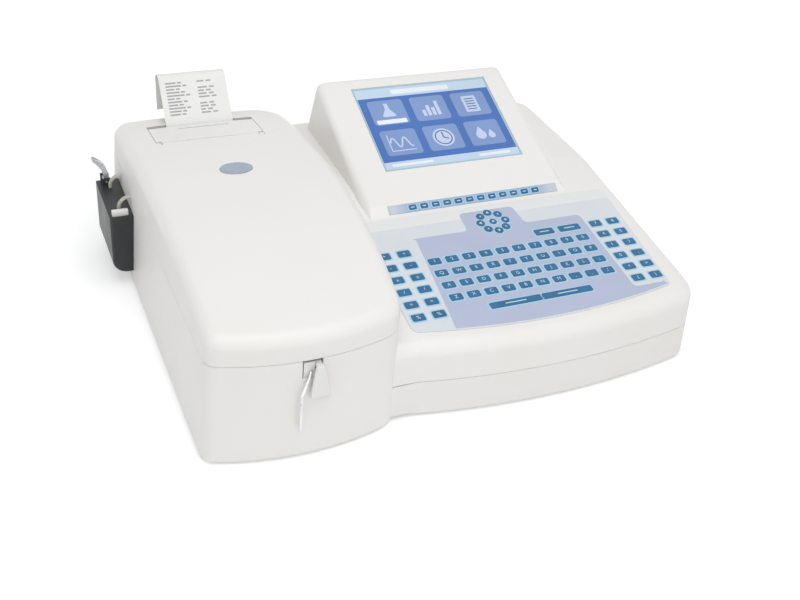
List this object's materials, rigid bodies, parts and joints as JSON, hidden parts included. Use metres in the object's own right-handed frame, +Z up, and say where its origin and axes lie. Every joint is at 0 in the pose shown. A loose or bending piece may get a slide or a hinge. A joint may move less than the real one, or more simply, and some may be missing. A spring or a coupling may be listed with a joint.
{
  "type": "benchtop chemistry analyser",
  "caption": "Benchtop chemistry analyser: optics module with a hinged lid, aspirating needle and roller pump, beside a console with membrane keypad, tilted display and printer",
  "frame": {"origin": "middle of the whole object's footprint, on the surface it stands on", "axes": "+X to the right of the person who uses it, +Y to its rear, +Z up"},
  "size_m": [0.431, 0.345, 0.1425],
  "materials": {
    "case_ivory": "fine moulded texture, warm white",
    "case_shadow": "fine moulded texture, slightly greyer",
    "badge": "satin blue-grey inlay",
    "overlay": "matt printed film, lavender and white",
    "key_print": "matt printed key caps, teal blue",
    "screen_glass": "clear window over a blue display",
    "display_metal": "bright metal frame",
    "steel": "plain zinc plated steel",
    "stainless": "polished stainless",
    "black_plastic": "fine moulded texture, black",
    "white_plastic": "smooth white",
    "smoke_plastic": "translucent smoky grey",
    "rubber": "matt black",
    "tube": "translucent silicone",
    "paper": "matt thermal paper",
    "aluminium": "bead blasted",
    "black_anodised": "black anodised",
    "glass": "polished",
    "board": "green solder mask"
  },
  "bodies": {
    "base": {"module_housing": "case_ivory", "base_tray": "case_shadow", "console_cover": "case_ivory", "case_screws": "steel", "inner_screws": "steel", "rubber_feet": "rubber", "hinge_leaves_fixed": "steel", "hinge_pins": "stainless", "keypad_overlay": "overlay", "keypad_keys": "key_print", "function_strip": "overlay", "function_keys": "key_print", "display_window": "screen_glass", "display_module": "display_metal", "main_board": "board", "power_supply": "steel", "rear_panel": "steel", "power_inlet": "black_plastic", "switch_frame": "black_plastic", "serial_ports": "steel", "needle_holder": "case_ivory", "sipper_needle": "stainless", "pivot_pins": "stainless", "flow_tubes": "tube", "drain_port": "white_plastic", "optics_base": "aluminium", "lamp_house": "black_anodised", "lamp_bulb": "glass", "lens_tube": "black_anodised", "filter_motor": "steel", "cell_holder": "black_anodised", "flow_cell": "glass", "detector_board": "board", "fan_frame": "black_plastic", "pump_body": "black_plastic", "pump_tube": "tube", "pump_motor": "steel"},
    "lid": {"lid": "case_ivory", "lid_badge": "badge", "hinge_leaves_moving": "steel", "printer_frame": "black_plastic", "printer_screws": "steel", "printer_door_pins": "stainless", "print_head": "black_anodised", "roll_spindle": "white_plastic", "paper_slip": "paper"},
    "printer_door": {"printer_door": "case_ivory"},
    "platen": {"platen_roller": "rubber"},
    "paper_roll": {"paper_roll": "paper"},
    "pump_rotor": {"pump_rotor": "white_plastic"},
    "pump_roller_1": {"pump_roller_1": "white_plastic"},
    "pump_roller_2": {"pump_roller_2": "white_plastic"},
    "pump_roller_3": {"pump_roller_3": "white_plastic"},
    "pump_lever": {"pump_lever": "smoke_plastic"},
    "pump_shoe": {"pump_shoe": "white_plastic"},
    "aspirate_paddle": {"aspirate_paddle": "white_plastic"},
    "filter_wheel": {"filter_wheel": "black_anodised", "optical_filters": "glass"},
    "fan_rotor": {"fan_rotor": "black_plastic"},
    "power_rocker": {"power_rocker": "black_plastic"}
  },
  "joints": [
    {"name": "lid_hinge", "type": "hinge", "parent": "base", "child": "lid", "pos_m": [-0.1275, 0.1665, 0.083], "axis": [-1, 0, 0], "range_deg": [0, 95]},
    {"name": "printer_door_hinge", "type": "hinge", "parent": "lid", "child": "printer_door", "pos_m": [-0.1219, 0.0981, 0.11142], "axis": [1, 0, 0], "range_deg": [0, 80]},
    {"name": "platen_spin", "type": "hinge", "parent": "printer_door", "child": "platen", "pos_m": [-0.1219, 0.1278, 0.10243], "axis": [1, 0, 0], "continuous": true},
    {"name": "paper_roll_spin", "type": "hinge", "parent": "lid", "child": "paper_roll", "pos_m": [-0.1219, 0.112, 0.08803], "axis": [1, 0, 0], "continuous": true},
    {"name": "pump_spin", "type": "hinge", "parent": "base", "child": "pump_rotor", "pos_m": [-0.2032, 0.101, 0.039], "axis": [1, 0, 0], "continuous": true},
    {"name": "roller_1_spin", "type": "hinge", "parent": "pump_rotor", "child": "pump_roller_1", "pos_m": [-0.2032, 0.101, 0.0515], "axis": [1, 0, 0], "continuous": true},
    {"name": "roller_2_spin", "type": "hinge", "parent": "pump_rotor", "child": "pump_roller_2", "pos_m": [-0.2032, 0.09017, 0.03275], "axis": [1, 0, 0], "continuous": true},
    {"name": "roller_3_spin", "type": "hinge", "parent": "pump_rotor", "child": "pump_roller_3", "pos_m": [-0.2032, 0.11183, 0.03275], "axis": [1, 0, 0], "continuous": true},
    {"name": "pump_lever_hinge", "type": "hinge", "parent": "base", "child": "pump_lever", "pos_m": [-0.2055, 0.1268, 0.071], "axis": [0, -1, 0], "range_deg": [0, 60]},
    {"name": "pump_shoe_slide", "type": "slide", "parent": "base", "child": "pump_shoe", "axis": [0, 0, 1], "range_m": [0, 0.003]},
    {"name": "aspirate_paddle_hinge", "type": "hinge", "parent": "base", "child": "aspirate_paddle", "pos_m": [-0.1192, -0.161, 0.078], "axis": [1, 0, 0], "range_deg": [0, 5], "stiffness_Nm_per_rad": 0.02, "springref_deg": -2.86},
    {"name": "filter_wheel_spin", "type": "hinge", "parent": "base", "child": "filter_wheel", "pos_m": [-0.1075, 0.0395, 0.05], "axis": [1, 0, 0], "continuous": true},
    {"name": "fan_spin", "type": "hinge", "parent": "base", "child": "fan_rotor", "pos_m": [-0.1015, 0.1551, 0.04], "axis": [0, 1, 0], "continuous": true},
    {"name": "power_switch", "type": "hinge", "parent": "base", "child": "power_rocker", "pos_m": [0.1175, 0.1591, 0.036], "axis": [1, 0, 0], "range_deg": [0, 20]}
  ],
  "couplings": [
    {"joint": "roller_1_spin", "follows": "pump_spin", "ratio": -4.125},
    {"joint": "roller_2_spin", "follows": "pump_spin", "ratio": -4.125},
    {"joint": "roller_3_spin", "follows": "pump_spin", "ratio": -4.125},
    {"joint": "pump_shoe_slide", "follows": "pump_lever_hinge", "m_per_rad": 0.0028}
  ]
}
